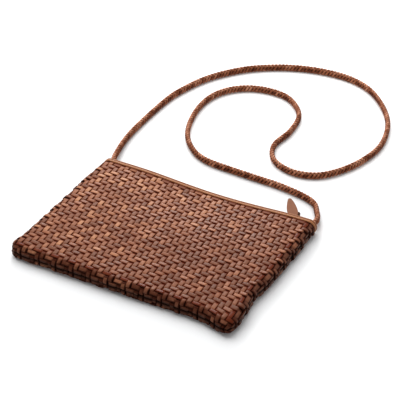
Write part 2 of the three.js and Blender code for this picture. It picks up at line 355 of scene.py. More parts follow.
def captured(tree, geometry, values):
    """Keeps numbers on the points of a geometry, so that they last through what is done to it next."""
    node = tree.nodes.new("GeometryNodeCaptureAttribute")
    feed(node.inputs["Geometry"], geometry)
    for name, value in values.items():
        node.capture_items.new("FLOAT", name)
        feed(node.inputs[name], value)
    return result(node, "Geometry"), {name: result(node, name) for name in values}


def ribbons(tree, amount, steps, section):
    """Closed ribbons that aren't placed yet. Gives their geometry and, for each point, the ribbon's number,
    the way along it from 0 to 1, and the point's place across and up its section."""
    line = add_node(tree, "GeometryNodeCurvePrimitiveLine")
    copies = {"Geometry": result(line), "Amount": amount}
    copies = add_node(tree, "GeometryNodeDuplicateElements", copies, domain="SPLINE")
    rails = {"Curve": result(copies, "Geometry"), "Count": steps + 1}
    rails = add_node(tree, "GeometryNodeResampleCurve", rails, mode="COUNT")
    along = result(tree.nodes.new("GeometryNodeSplineParameter"), "Factor")
    rail_values = {"Ribbon": result(copies, "Duplicate Index"), "Along": along}
    rails, rail_values = captured(tree, result(rails), rail_values)

    outline = result(add_node(tree, "GeometryNodeObjectInfo", {"Object": section}), "Geometry")
    across, height, _ = separated(result(tree.nodes.new("GeometryNodeInputPosition")))
    outline, section_values = captured(tree, outline, {"Across": across, "Height": height})

    tube = {"Curve": rails, "Profile Curve": outline, "Fill Caps": True}
    tube = add_node(tree, "GeometryNodeCurveToMesh", tube)
    return result(tube), {**rail_values, **section_values}


def placed(tree, geometry, point):
    """Moves the points of a geometry to these fields of x, y and z."""
    place = result(add_node(tree, "ShaderNodeCombineXYZ", dict(zip("XYZ", point))))
    inputs = {"Geometry": geometry, "Position": place}
    return result(add_node(tree, "GeometryNodeSetPosition", inputs))


def kept(tree, geometry, values):
    """Stores numbers by name on the points, for the material to read."""
    for name, value in values.items():
        inputs = {"Geometry": geometry, "Name": name, "Value": value}
        geometry = result(add_node(tree, "GeometryNodeStoreNamedAttribute", inputs, data_type="FLOAT"))
    return geometry


def finish_tree(tree, geometry, material):
    geometry = result(add_node(tree, "GeometryNodeSetShadeSmooth", {"Geometry": geometry}))
    geometry = result(add_node(tree, "GeometryNodeRealizeInstances", {"Geometry": geometry}))
    inputs = {"Geometry": geometry, "Material": material}
    geometry = result(add_node(tree, "GeometryNodeSetMaterial", inputs))
    feed(tree.nodes.new("NodeGroupOutput").inputs[0], geometry)


def random_of(tree, number, seed, low=-1.0, high=1.0):
    inputs = {"Min": low, "Max": high, "ID": number, "Seed": seed}
    return result(add_node(tree, "FunctionNodeRandomValue", inputs, data_type="FLOAT"), "Value")


def outline_object(name, points, is_closed=True):
    """A helper curve through plain points, for a tree to read. It is removed before the end."""
    curve = bpy.data.curves.new(name, "CURVE")
    curve.dimensions = "3D"
    spline = curve.splines.new("POLY")
    spline.points.add(len(points) - 1)
    for target, point in zip(spline.points, points):
        target.co = (*point, *(0,) * (3 - len(point)), 1)
    spline.use_cyclic_u = is_closed
    made = bpy.data.objects.new(name, curve)
    bpy.context.scene.collection.objects.link(made)
    return made


def mesh_volume(mesh):
    mesh.calc_loop_triangles()
    points = [vertex.co for vertex in mesh.vertices]
    corners = (triangle.vertices for triangle in mesh.loop_triangles)
    return sum(points[a].dot(points[b].cross(points[c])) for a, b, c in corners) / 6


def grow(name, tree, values):
    """Runs a tree with these inputs and keeps what it makes as a plain mesh that faces outwards."""
    piece = bpy.data.objects.new(name, bpy.data.meshes.new(name))
    bpy.context.scene.collection.objects.link(piece)
    modifier = piece.modifiers.new("Shape", "NODES")
    modifier.node_group = tree
    for item in tree.interface.items_tree:
        if item.in_out == "INPUT":
            modifier[item.identifier] = values[item.name]
    graph = bpy.context.evaluated_depsgraph_get()
    mesh = bpy.data.meshes.new_from_object(piece.evaluated_get(graph), depsgraph=graph)
    piece.modifiers.remove(modifier)
    piece.data = mesh
    if mesh_volume(mesh) < 0:
        mesh.flip_normals()
    return piece


# Shape of the bag

def shell_point(u, v, depth):
    """A point of the upper half-shell. Past the corner circle's centre the leather turns over the edge,
    and a square corner of it is drawn into a quarter disc."""
    across = (abs(u) - CORNER_X).at_least(0.0)
    down = (-v - CORNER_Y).at_least(0.0)
    out_x = across * root(1 - (down / TURN_LENGTH).squared() / 2)
    out_y = down * root(1 - (across / TURN_LENGTH).squared() / 2)
    out = root(out_x.squared() + out_y.squared())
    turn = (out - FLAT_CORNER).at_least(0.0) / EDGE_RADIUS
    reach = out.at_most(FLAT_CORNER) + (EDGE_RADIUS - depth) * sine(turn)
    share = reach / out.at_least(1e-7)
    x = calc("SIGN", u) * (abs(u).at_most(CORNER_X) + out_x * share)
    y = v.at_least(-CORNER_Y) - out_y * share
    z = EDGE_RADIUS + (EDGE_RADIUS - depth) * cosine(turn)
    return x, y, z


def mouth_sag(x):
    along = (abs(x - SAG_CENTRE_X) / SAG_HALF_SPAN).at_most(1.0)
    return SAG * (1 - along.squared()).squared()


def settled(x, y, z):
    """The sag moves the front wall only, the taper and the pushes both walls alike."""
    sag = mouth_sag(x) * smoothstep(y, MOUTH_Y - SAG_REACH, MOUTH_Y)
    lower = z - sag * smoothstep(z, SAG_FROM_Z, SAG_FULL_Z)
    wide_x = x * (1 + TAPER / BAG_WIDTH * (1 - y / MOUTH_Y))
    wide_y = y
    for push in EDGE_PUSHES:
        distance = root((x - push["x"]).squared() + (y - push["y"]).squared())
        share = smoothstep(push["reach"] - distance, 0.0, push["reach"])
        wide_x = wide_x + push["push_x"] * share
        wide_y = wide_y + push["push_y"] * share
    return wide_x, wide_y, lower


def bag_point(u, v, depth, side):
    x, y, z = shell_point(u, v, depth)
    return settled(x, y, EDGE_RADIUS + side * (z - EDGE_RADIUS).at_least(GAP / 2))


# Weave

# Outline of a strip, square on the side that lies close to its neighbour and rounded on the other
STRIP_SECTION = (
    (-0.5, 0.2), (-0.48, 0.42), (-0.38, 0.48), (0.26, 0.49),
    (0.4, 0.38), (0.47, 0), (0.45, -0.5), (-0.46, -0.5),
)
# Where a gap's painted shade begins, across the strip and along its stretch on top, and how much sooner at
# the bag's edge
SHADE_GAPS_FROM = {"uprights": (0.34, 0.54), "crosswise": (0.25, 0.74)}
EDGE_SIDE_SHADE = 0.06
EDGE_END_SHADE = 0.12
WEAVE_INPUTS = {
    "Side": "Float", "Strip Width": "Float", "Strip Thickness": "Float", "Bend Length": "Float",
    "Arch": "Float", "Slip": "Float", "Wobble": "Float", "Tilt": "Float", "Lumps": "Float",
    "Edge Swell": "Float", "Edge Dome": "Float", "Edge Shade": "Float", "Twill Start": "Float",
    "Seed": "Int", "Section": "Object", "Material": "Material",
}


def weave_tree(is_upright):
    """One set of strips of a half-shell, each over two and under two of the strips that it crosses."""
    tree, size = new_tree("Upright strips" if is_upright else "Crosswise strips", WEAVE_INPUTS)
    amount, crossings = (UPRIGHTS, CROSSWISE) if is_upright else (CROSSWISE, UPRIGHTS)
    mesh, at = ribbons(tree, amount, crossings * STEPS_A_CROSSING, size["Section"])
    strip = at["Ribbon"]
    cell = at["Along"] * float(crossings)
    facing = 1 if is_upright else -1

    # how far the point is, in crossings, from the middle of the nearest stretch on top
    shift = 0 if is_upright else TWILL_PERIOD - 1
    phase = cell - strip - shift + size["Twill Start"] * facing
    stretch = calc("FLOOR", (phase + TWILL_PERIOD / 2) / TWILL_PERIOD)
    phase = phase - stretch * TWILL_PERIOD + size["Slip"]
    bend = size["Bend Length"]
    lift = 1 - 2 * smoothstep(abs(phase), 1 - bend, 1 + bend * BEND_PAST)
    lift = lift - size["Arch"] * phase.squared().at_most(1.0)

    # each stretch has its own tilt, swell and tone, and each strip its own wander and tone
    number = strip * STRETCH_NUMBERS + stretch + STRETCH_START
    tilt = random_of(tree, number, size["Seed"]) * at["Across"]
    swell = random_of(tree, number, size["Seed"] + 1.0)
    wander = random_of(tree, strip, size["Seed"] + 2.0)
    tone = random_of(tree, number, size["Seed"] + 3.0, 0.0)
    strip_tone = random_of(tree, strip, size["Seed"] + 4.0, 0.0)
    sideways = size["Wobble"] * (wander + sine(cell * WAVE_RATE + wander * WAVE_START) * WAVE_SHARE)

    offset = at["Across"] * facing * size["Strip Width"] + sideways
    if is_upright:
        u = (strip + 0.5) * UPRIGHT_PITCH - SEAM_U + offset
        v = cell * CROSSWISE_PITCH + SEAM_V
        from_seam = UPRIGHTS - 0.5 - strip
    else:
        u = cell * UPRIGHT_PITCH - SEAM_U
        v = (strip + 0.5) * CROSSWISE_PITCH + SEAM_V + offset
        from_seam = strip + 0.5

    # the bag's edge, the painted shade on its bottom, right side and right lower corner, and its strip of
    # knots
    to_bottom = v - SEAM_V
    to_right = SEAM_U - u
    to_corner = root(to_right.squared() + to_bottom.squared())
    to_seam = (SEAM_U - abs(u)).at_most(to_bottom)
    turned = 1 - smoothstep(to_seam, EDGE_FROM, EDGE_TO)
    shaded_edge = 1 - smoothstep(to_bottom, EDGE_FROM, EDGE_TO)
    shaded_edge = shaded_edge.at_least((1 - smoothstep(to_right, EDGE_FROM, EDGE_TO)) * RIGHT_SHADE)
    shaded_edge = shaded_edge.at_least((1 - smoothstep(to_corner, CORNER_FROM, CORNER_TO)) * CORNER_SHADE)
    edge_strip = calc("LESS_THAN", abs(from_seam - EDGE_STRIP), 0.5)

    # each strip lies close to its neighbour on one side and at one end, and its gap at the others gets
    # painted shade, as these face away from the light from behind on the left
    side_shade_from, end_shade_from = SHADE_GAPS_FROM["uprights" if is_upright else "crosswise"]
    gap_side = at["Across"] - side_shade_from + turned * EDGE_SIDE_SHADE
    gap_end = phase * facing - end_shade_from + turned * EDGE_END_SHADE

    # the strips swell and are domed where they turn over the edge
    layer = (WALL - size["Strip Thickness"]) / 2
    uneven = tilt * size["Tilt"] + swell * mix(size["Wobble"] / 2, size["Lumps"], turned)
    raised = lift * layer * (1 + size["Edge Swell"] * turned)
    raised = raised + size["Edge Dome"] * turned * (0.5 - 4 * at["Across"].squared())
    depth = WALL / 2 - raised - at["Height"] * size["Strip Thickness"] + uneven * (0.5 + lift / 2)

    # they are pressed flat under the binding and tucked in at the seam
    pressed = smoothstep(v, BINDING_FOOT - BINDING_GROOVE, BINDING_FOOT - GAP)
    depth = mix(depth, BINDING + GAP + depth * (TONGUE / WALL), pressed)
    tuck = SEAM_TUCK * (1 + wander * SEAM_TUCK_CHANGE)
    depth = depth + tuck * (1 - smoothstep(to_seam, 0.0, SEAM_TUCK_LENGTH))

    mesh = placed(tree, mesh, bag_point(u, v, depth, size["Side"]))
    # the painted shade of the gaps, the edge walls, the knots strip and the seam, and the binding's painted
    # shadow, are kept for the material
    mesh = kept(tree, mesh, {
        "tone": tone, "strip_tone": strip_tone, "gap_side": gap_side, "gap_end": gap_end,
        "turned": turned, "dye": shaded_edge * size["Edge Shade"], "edge_strip": edge_strip,
        "shaded": smoothstep(v, SHADE_FROM, SHADE_TO),
        "seam": 1 - smoothstep(to_seam, SEAM_SHADE_FULL, SEAM_SHADE_FADE),
        "along": cell * UPRIGHT_PITCH, "across": at["Across"] * size["Strip Width"],
    })
    finish_tree(tree, mesh, size["Material"])
    return tree


def woven_panels(material):
    section = outline_object("strip_section", STRIP_SECTION)
    trees = {"uprights": weave_tree(True), "crosswise": weave_tree(False)}
    for side, sign in SIDES.items():
        for family, tree in trees.items():
            name = f"{side}_{family}"
            strips = grow(name, tree, {
                **WEAVE_SIZES, "Side": sign, "Slip": SLIPS[family], "Edge Shade": EDGE_SHADES[side],
                "Seed": WEAVE_SEEDS[name], "Section": section, "Material": material,
            })
            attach(strips, "root")
            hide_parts(f"{side}_panel")
    bpy.data.objects.remove(section)


# Strap

def smooth_route(points, steps):
    """Points along a smooth curve through the route's points."""
    points = [Vector(point) * MM for point in points]
    ends = [2 * points[0] - points[1], *points, 2 * points[-1] - points[-2]]
    path = []
    for before, start, end, after in zip(ends, ends[1:], ends[2:], ends[3:]):
        leave = (end - before) / 2
        arrive = (after - start) / 2
        for step in range(steps):
            t = step / steps
            bend = 3 * (end - start) - 2 * leave - arrive
            twist = 2 * (start - end) + leave + arrive
            path.append(start + leave * t + bend * t**2 + twist * t**3)
    return path + [points[-1]]


STRAND_SECTION = ((-0.5, -0.3), (-0.32, 0.3), (0, 0.5), (0.32, 0.3), (0.5, -0.3), (0, -0.5))
STRAP_INPUTS = {
    "Length": "Float", "Steps": "Int", "Strand Width": "Float", "Strand Thickness": "Float",
    "Pitch": "Float", "Seed": "Int", "Section": "Object", "Route": "Object", "Material": "Material",
}


def strap_tree():
    """Strands wound both ways round the strap's oval. Those of one hand lie on top along the broad faces,
    and those of the other hand along the edges."""
    tree, size = new_tree("Plaited strands", STRAP_INPUTS)
    mesh, at = ribbons(tree, STRANDS, size["Steps"], size["Section"])
    way = at["Along"] * size["Length"]
    hand = 1 - 2 * calc("GREATER_THAN", at["Ribbon"], STRANDS / 2 - 0.5)
    start = calc("MODULO", at["Ribbon"], STRANDS / 2) * (4 * math.pi / STRANDS)
    angle = hand * way * (2 * math.pi) / size["Pitch"] + start + math.pi / STRANDS
    lift = (hand * cosine(angle * 2.0) * PLAIT_SQUARENESS).at_most(1.0).at_least(-1.0)

    # a step across the strand moves both along and round the strap
    girth = math.pi * (STRAP_TALL + STRAP_THICK) / 2
    slant = math.atan2(girth, PLAIT_PITCH)
    sideways = at["Across"] * size["Strand Width"]
    way = way - hand * sideways * math.sin(slant)
    angle = angle + sideways * (math.cos(slant) * 2 * math.pi / girth)
    depth = size["Strand Thickness"] * (STRAND_DEPTH - lift * STRAND_RISE - at["Height"])

    # the oval stands on edge along the route, and is pressed narrower towards the strap's right end
    share = (way / size["Length"]).at_least(0.0).at_most(1.0)
    route = result(add_node(tree, "GeometryNodeObjectInfo", {"Object": size["Route"]}), "Geometry")
    spot = add_node(tree, "GeometryNodeSampleCurve", {"Curves": route, "Factor": share}, mode="FACTOR")
    centre_x, centre_y, centre_z = separated(result(spot, "Position"))
    ahead_x, ahead_y, _ = separated(result(spot, "Tangent"))
    level = root(ahead_x.squared() + ahead_y.squared())
    pressed = mix(PINCH_SHARE, 1.0, smoothstep(size["Length"] - way, 0.0, PINCH_LENGTH))
    out = (STRAP_THICK / 2 - depth) * pressed * cosine(angle)
    up = (STRAP_TALL / 2 - depth) * pressed * sine(angle)
    x = centre_x + ahead_y / level * out
    y = centre_y - ahead_x / level * out
    z = (centre_z + up).at_least(FLOOR_CLEARANCE)
    mesh = placed(tree, mesh, (x, y, z))

    bend = calc("FLOOR", (angle + math.pi / 4) / (math.pi / 2))
    # painted light on the oval's upper and lower edge, and painted shade where the strands go under and at
    # their edges
    mesh = kept(tree, mesh, {
        "tone": random_of(tree, at["Ribbon"] * STRAND_NUMBERS + bend, size["Seed"], 0.0),
        "lift": lift, "edge": abs(at["Across"]) * 2,
        "rubbed": smoothstep(abs(sine(angle)), LIT_EDGES_FROM, LIT_EDGES_TO),
    })
    finish_tree(tree, mesh, size["Material"])
    return tree


def path_length(path):
    return sum((b - a).length for a, b in zip(path, path[1:]))


def plaited_strap(material):
    path = smooth_route(STRAP_ROUTE, ROUTE_STEPS)
    length = path_length(path)
    route = outline_object("strap_route", path, is_closed=False)
    section = outline_object("strand_section", STRAND_SECTION)
    strap = grow("plaited_strap", strap_tree(), {
        "Length": length, "Steps": round(length / PLAIT_PITCH * STEPS_A_TURN),
        "Strand Width": STRAND_WIDTH, "Strand Thickness": STRAND_THICKNESS, "Pitch": PLAIT_PITCH,
        "Seed": STRAP_SEED, "Section": section, "Route": route, "Material": material,
    })
    bpy.data.objects.remove(route)
    bpy.data.objects.remove(section)
    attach(strap, "root")
    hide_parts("strap")


# Mouth binding

# Outline of the folded strip: way back from the mouth's edge and depth below the outer face, in mm
BINDING_SECTION = (
    (-5.2, 1.0), (-1.0, 1.0), (-1.0, 2.7), (-5.2, 2.7), (-5.2, 3.7), (-0.8, 3.7), (-0.23, 3.47),
    (0, 2.9), (0, 0.8), (-0.22, 0.22), (-0.8, 0), (-1.4, 0.06), (-1.75, 0.4), (-2.1, 0.42),
    (-2.45, 0.1), (-3.5, -0.06), (-4.6, 0.04), (-5.05, 0.28),
)
BINDING_STEPS = 360
GROOVE_DARK = 0.25 * MM
GROOVE_FADE = 0.75 * MM
STITCHES = 160
STITCH_STEPS = 4
STITCH_SHARE = 0.72
STITCH_LINE = 1.92 * MM
STITCH_DEPTH = 0.3 * MM
STITCH_ARCH = 0.3 * MM
THREAD = 0.55 * MM
THREAD_SECTION = ((-0.5, 0), (-0.25, 0.43), (0.25, 0.43), (0.5, 0), (0.25, -0.43), (-0.25, -0.43))
BINDING_INPUTS = {"Steps": "Int", "Section": "Object", "Material": "Material"}
STITCH_INPUTS = {"Count": "Int", "Thread": "Float", "Section": "Object", "Material": "Material"}


def mouth_loop(share):
    """Way round the mouth, from 0 to 1: along the front from left to right, then back along the back."""
    u = SEAM_U * (1 - 4 * abs(share - 0.5))
    return u, calc("SIGN", 0.5 - share)


def binding_tree():
    tree, size = new_tree("Binding", BINDING_INPUTS)
    mesh, at = ribbons(tree, 1, size["Steps"], size["Section"])
    u, side = mouth_loop(at["Along"])
    mesh = placed(tree, mesh, bag_point(u, at["Across"] + MOUTH_Y, at["Height"], side))
    groove = 1 - smoothstep(abs(at["Across"] + STITCH_LINE), GROOVE_DARK, GROOVE_FADE)
    mesh = kept(tree, mesh, {"groove": groove})
    finish_tree(tree, mesh, size["Material"])
    return tree


def stitch_tree():
    tree, size = new_tree("Binding stitches", STITCH_INPUTS)
    mesh, at = ribbons(tree, size["Count"], STITCH_STEPS, size["Section"])
    middle = at["Along"] - 0.5
    u, side = mouth_loop((at["Ribbon"] + 0.5 + middle * STITCH_SHARE) / size["Count"])
    v = at["Across"] * size["Thread"] + (MOUTH_Y - STITCH_LINE)
    depth = STITCH_DEPTH + middle.squared() * (4 * STITCH_ARCH) - at["Height"] * size["Thread"]
    mesh = placed(tree, mesh, bag_point(u, v, depth, side))
    finish_tree(tree, mesh, size["Material"])
    return tree


def mouth_binding(leather, thread_material):
    section = outline_object("binding_section", [(y * MM, depth * MM) for y, depth in BINDING_SECTION])
    values = {"Steps": BINDING_STEPS, "Section": section, "Material": leather}
    binding = grow("folded_binding", binding_tree(), values)
    twine = outline_object("thread_section", THREAD_SECTION)
    values = {"Count": STITCHES, "Thread": THREAD, "Section": twine, "Material": thread_material}
    stitches = grow("binding_stitches", stitch_tree(), values)
    for helper in (section, twine):
        bpy.data.objects.remove(helper)
    for piece in (binding, stitches):
        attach(piece, "root")
        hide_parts("mouth_binding")


# Zip

BLOCK_SECTION = (
    (-0.5, -0.3), (-0.5, 0.3), (-0.35, 0.5), (0.35, 0.5),
    (0.5, 0.3), (0.5, -0.3), (0.35, -0.5), (-0.35, -0.5),
)
TEETH_INPUTS = {"Count": "Int", "Pitch": "Float", "Section": "Object", "Material": "Material"}
TAPE_INPUTS = {"Steps": "Int", "Thickness": "Float", "Section": "Object", "Material": "Material"}


def zip_middle(x):
    return EDGE_RADIUS - mouth_sag(x) / 2


def teeth_tree():
    """Teeth by turns from the upper and the lower tape, each with a wider head past the middle."""
    tree, size = new_tree("Zip teeth", TEETH_INPUTS)
    mesh, at = ribbons(tree, size["Count"], TOOTH_STEPS, size["Section"])
    hand = 1 - 2 * calc("MODULO", at["Ribbon"], 2.0)
    centre = (at["Ribbon"] + 0.5) * size["Pitch"] - ZIP_HALF_LENGTH
    widened = smoothstep(at["Along"], TOOTH_WIDENS_FROM, TOOTH_WIDENS_TO)
    x = centre + at["Across"] * size["Pitch"] * mix(TOOTH_ROOT_WIDTH, TOOTH_HEAD_WIDTH, widened)
    z = zip_middle(centre) + hand * mix(TOOTH_ROOT, TOOTH_HEAD, at["Along"])
    y = ZIP_Y + at["Height"] * TOOTH_THICKNESS
    finish_tree(tree, placed(tree, mesh, (x, y, z)), size["Material"])
    return tree


def tape_tree():
    """Both tapes, each from the teeth to its lip."""
    tree, size = new_tree("Zip tapes", TAPE_INPUTS)
    mesh, at = ribbons(tree, 2, size["Steps"], size["Section"])
    hand = 1 - 2 * at["Ribbon"]
    x = (at["Along"] * 2 - 1) * ZIP_HALF_LENGTH
    edge = EDGE_RADIUS - BINDING_DEPTH - GAP - mouth_sag(x) / 2
    z = zip_middle(x) + hand * mix(TAPE_EDGE, edge, at["Across"] + 0.5)
    y = ZIP_Y + at["Height"] * size["Thickness"]
    finish_tree(tree, placed(tree, mesh, (x, y, z)), size["Material"])
    return tree


def closed_zip(cloth, metal):
    section = outline_object("block_section", BLOCK_SECTION)
    count = round(2 * ZIP_HALF_LENGTH / TOOTH_PITCH)
    values = {"Count": count, "Pitch": TOOTH_PITCH, "Section": section, "Material": metal}
    teeth = grow("zip_teeth", teeth_tree(), values)
    values = {"Steps": TAPE_STEPS, "Thickness": TAPE_THICKNESS, "Section": section, "Material": cloth}
    tapes = grow("zip_tapes", tape_tree(), values)
    bpy.data.objects.remove(section)
    for piece, slot in ((teeth, "zip_metal"), (tapes, "zip_tape")):
        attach(piece, "root")
        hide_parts("zip_chain")


# Slider and pull

EDGE_STEPS = 3
SHARP_ANGLE = math.radians(40)


def flat_piece(name, outlines, thickness, rounding, place, material):
    """A plate cut to closed outlines, the inner ones being holes, with rounded edges, in its place."""
    curve = bpy.data.curves.new(name, "CURVE")
    curve.dimensions = "2D"
    curve.fill_mode = "BOTH"
    curve.extrude = thickness / 2 - rounding
    curve.bevel_depth = rounding
    curve.bevel_resolution = EDGE_STEPS
    curve.offset = -rounding
    for points in outlines:
        spline = curve.splines.new("POLY")
        spline.points.add(len(points) - 1)
        for target, (x, y) in zip(spline.points, points):
            target.co = (x, y, 0, 1)
        spline.use_cyclic_u = True
    helper = bpy.data.objects.new(name + "_outline", curve)
    bpy.context.scene.collection.objects.link(helper)
    graph = bpy.context.evaluated_depsgraph_get()
    mesh = bpy.data.meshes.new_from_object(helper.evaluated_get(graph), depsgraph=graph)
    bpy.data.objects.remove(helper)
    # the cut edge is darker than the faces
    edge = mesh.attributes.new("groove", "FLOAT", "POINT")
    for vertex, spot in zip(mesh.vertices, edge.data):
        spot.value = min(2 * (thickness / 2 - abs(vertex.co.z)) / rounding, 1)
    mesh.transform(place)
    if mesh_volume(mesh) < 0:
        mesh.flip_normals()
    mesh.shade_smooth()
    mesh.set_sharp_from_angle(angle=SHARP_ANGLE)
    mesh.materials.clear()
    mesh.materials.append(material)
    made = bpy.data.objects.new(name, mesh)
    bpy.context.scene.collection.objects.link(made)
    return made


def circle(radius, count):
    angles = [2 * math.pi * step / count for step in range(count)]
    return [(radius * math.cos(angle), radius * math.sin(angle)) for angle in angles]


PLATE_INNER_Y = ZIP_Y + TOOTH_THICKNESS / 2 + GAP
SLIDER_SAG = SAG * (1 - ((SLIDER_X - SAG_CENTRE_X) / SAG_HALF_SPAN) ** 2) ** 2
RING_CENTRE = Vector((
    SLIDER_X, PLATE_INNER_Y + SLIDER_THICKNESS + RING_RADIUS - RING_WIRE / 2, EDGE_RADIUS - SLIDER_SAG / 2,
))
RING_INPUTS = {
    "Steps": "Int", "Radius": "Float", "Wire": "Float", "Section": "Object", "Material": "Material",
}


def slider_outline():
    """A rounded plate, a little narrower at the end that the closed teeth leave by."""
    outline = []
    for x, y in circle(1, SLIDER_POINTS):
        along = math.copysign(abs(x) ** SLIDER_SQUARENESS, x)
        across = math.copysign(abs(y) ** SLIDER_SQUARENESS, y)
        width = SLIDER_WIDTH * (1 - SLIDER_NARROWING * (1 - along))
        outline.append((along * SLIDER_LENGTH / 2, across * width / 2))
    return outline


def ring_tree():
    tree, size = new_tree("Pull ring", RING_INPUTS)
    mesh, at = ribbons(tree, 1, size["Steps"], size["Section"])
    angle = at["Along"] * (2 * math.pi)
    reach = size["Radius"] + at["Across"] * (2 * size["Wire"])
    aside = at["Height"] * (2 * size["Wire"])
    x = RING_CENTRE.x - math.sin(PULL_LEAN) * (reach * cosine(angle)) + math.cos(PULL_LEAN) * aside
    y = RING_CENTRE.y + math.cos(PULL_LEAN) * (reach * cosine(angle)) + math.sin(PULL_LEAN) * aside
    z = RING_CENTRE.z + reach * sine(angle)
    finish_tree(tree, placed(tree, mesh, (x, y, z)), size["Material"])
    return tree


def zip_slider(metal):
    centre = Vector((SLIDER_X, PLATE_INNER_Y + SLIDER_THICKNESS / 2, RING_CENTRE.z))
    upright = Matrix.Translation(centre) @ Matrix.Rotation(math.pi / 2, 4, "X")
    outlines = [slider_outline()]
    plate = flat_piece("slider_plate", outlines, SLIDER_THICKNESS, SLIDER_ROUNDING, upright, metal)
    section = outline_object("wire_section", circle(0.5, WIRE_POINTS))
    values = {
        "Steps": RING_STEPS, "Radius": RING_RADIUS, "Wire": RING_WIRE,
        "Section": section, "Material": metal,
    }
    ring = grow("pull_ring", ring_tree(), values)
    bpy.data.objects.remove(section)
    for piece in (plate, ring):
        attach(piece, "root")
        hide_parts("zip_slider")


def bezier(start, first, second, end, steps):
    points = []
    for step in range(steps):
        t = step / steps
        shares = ((1 - t) ** 3, 3 * t * (1 - t) ** 2, 3 * t**2 * (1 - t), t**3)
        spots = (start, first, second, end)
        points.append(tuple(sum(w * spot[k] for w, spot in zip(shares, spots)) for k in (0, 1)))
    return points


def leaf_outline(length, base, belly):
    """A leaf from its round base, about the ring, over its belly to a blunt tip."""
    tip = base * LEAF_TIP
    shoulder = length - tip * LEAF_SHOULDER
    crown = (tip * LEAF_CROWN, length)
    low = (belly * LEAF_LOW[0], length * LEAF_LOW[1])
    high = (belly * LEAF_HIGH[0], length * LEAF_HIGH[1])
    side = bezier((base, 0), low, high, (tip, shoulder), LEAF_SIDE_STEPS)
    side += bezier((tip, shoulder), crown, crown, (0, length), LEAF_TIP_STEPS)
    angles = [-math.pi * step / LEAF_FOOT_STEPS for step in range(1, LEAF_FOOT_STEPS)]
    foot = [(base * math.cos(angle), base * math.sin(angle)) for angle in angles]
    return [*side, (0, length), *[(-x, y) for x, y in reversed(side)], *reversed(foot)]


def zip_pull(leather, shaded_tail_leather):
    seat = RING_CENTRE + Matrix.Rotation(PULL_LEAN, 3, "Z") @ Vector((0, RING_RADIUS, 0))
    turned = Matrix.Rotation(PULL_LEAN, 4, "Z") @ Matrix.Rotation(PULL_LIFT, 4, "X")
    hung = Matrix.Translation(seat) @ turned
    hole = circle(PULL_HOLE_RADIUS, PULL_HOLE_POINTS)
    leaves = (
        ("pull_leaf", PULL_LEAF, PULL_LAYER / 2, 0, leather),
        ("pull_tail", PULL_TAIL, PULL_LAYER_OVERLAP - PULL_LAYER / 2, PULL_TAIL_FAN, shaded_tail_leather),
    )
    for name, leaf, height, fan, material in leaves:
        place = hung @ Matrix.Rotation(fan, 4, "Z") @ Matrix.Translation((0, 0, height))
        piece = flat_piece(name, [leaf_outline(**leaf), hole], PULL_LAYER, PULL_ROUNDING, place, material)
        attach(piece, "root")
        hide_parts("zip_pull")


# Materials

def new_material(name):
    material = bpy.data.materials.new(name)
    material.use_nodes = True
    tree = material.node_tree
    return material, tree, tree.nodes["Principled BSDF"]


def attribute(tree, name):
    return result(add_node(tree, "ShaderNodeAttribute", attribute_name=name), "Fac")


def object_place(tree):
    return result(tree.nodes.new("ShaderNodeTexCoord"), "Object")


def noise(tree, scale, detail=3.0, place=None):
    """Noise from 0 to 1 at the point's own place, unless another place is given."""
    inputs = {"Vector": place or object_place(tree), "Scale": scale, "Detail": detail}
    return result(add_node(tree, "ShaderNodeTexNoise", inputs), "Fac")


def ramp(tree, value, stops):
    node = add_node(tree, "ShaderNodeValToRGB", {"Fac": value})
    elements = node.color_ramp.elements
    while len(elements) < len(stops):
        elements.new(1.0)
    for element, (place, colour) in zip(elements, stops):
        element.position = place
        element.color = (*colour, 1)
    return result(node, "Color")


def blend_colours(tree, first, second, share):
    node = add_node(tree, "ShaderNodeMix", data_type="RGBA")
    for name, value in (("Factor", share), ("A", first), ("B", second)):
        feed(open_socket(node.inputs, name), value)
    return result(node, "Result")


def bumped(tree, shader, height, strength, distance):
    inputs = {"Height": height, "Strength": strength, "Distance": distance}
    feed(shader.inputs["Normal"], result(add_node(tree, "ShaderNodeBump", inputs), "Normal"))


def finished(shader, colour, roughness, gloss=None):
    feed(shader.inputs["Base Color"], colour)
    feed(shader.inputs["Roughness"], roughness)
    if gloss is not None:
        shader.inputs["Specular IOR Level"].default_value = gloss


# Scales of the noise that wears, blotches and grains a surface, in waves to the metre
WEAR_SCALE = 900.0
BLOTCH_SCALE = 240.0
PATCH_SCALE = 110.0
RUB_SCALE = 260.0
GRAIN_SCALE = 2600.0
FUZZ_SCALE = 5200.0
TARNISH_SCALE = 700.0
BROAD_DETAIL = 2.0

# Roughness of each surface, and what wear, grain, tarnish and recesses add to it
WOVEN_ROUGHNESS = 0.3
STRAP_ROUGHNESS = 0.38
THREAD_ROUGHNESS = 0.75
TAPE_ROUGHNESS = 0.85
BRASS_ROUGHNESS = 0.24
FLOOR_ROUGHNESS = 0.7
WEAR_ROUGHNESS = 0.2
RECESS_ROUGHNESS = 0.4
GRAIN_ROUGHNESS = 0.15
TARNISH_ROUGHNESS = 0.22

# Tones of the woven strips, and their change to the metre across and up the bag, a painted falloff of light
# that is lighter towards the back left
WOVEN_TONES = (
    (0.0, (0.118, 0.044, 0.025)), (0.22, (0.148, 0.056, 0.031)), (0.4, (0.18, 0.068, 0.037)),
    (0.6, (0.212, 0.08, 0.043)), (0.78, (0.264, 0.103, 0.054)), (1.0, (0.375, 0.168, 0.086)),
)
LIGHT_FALLOFF = (-1.35, 1.05)
STRETCH_TONE = 0.6
STRIP_TONE = 0.4
STREAK_TONE = 0.8
STREAK_ALONG = 300.0
STREAK_ACROSS = 1300.0
STREAK_SHIFT = 40.0

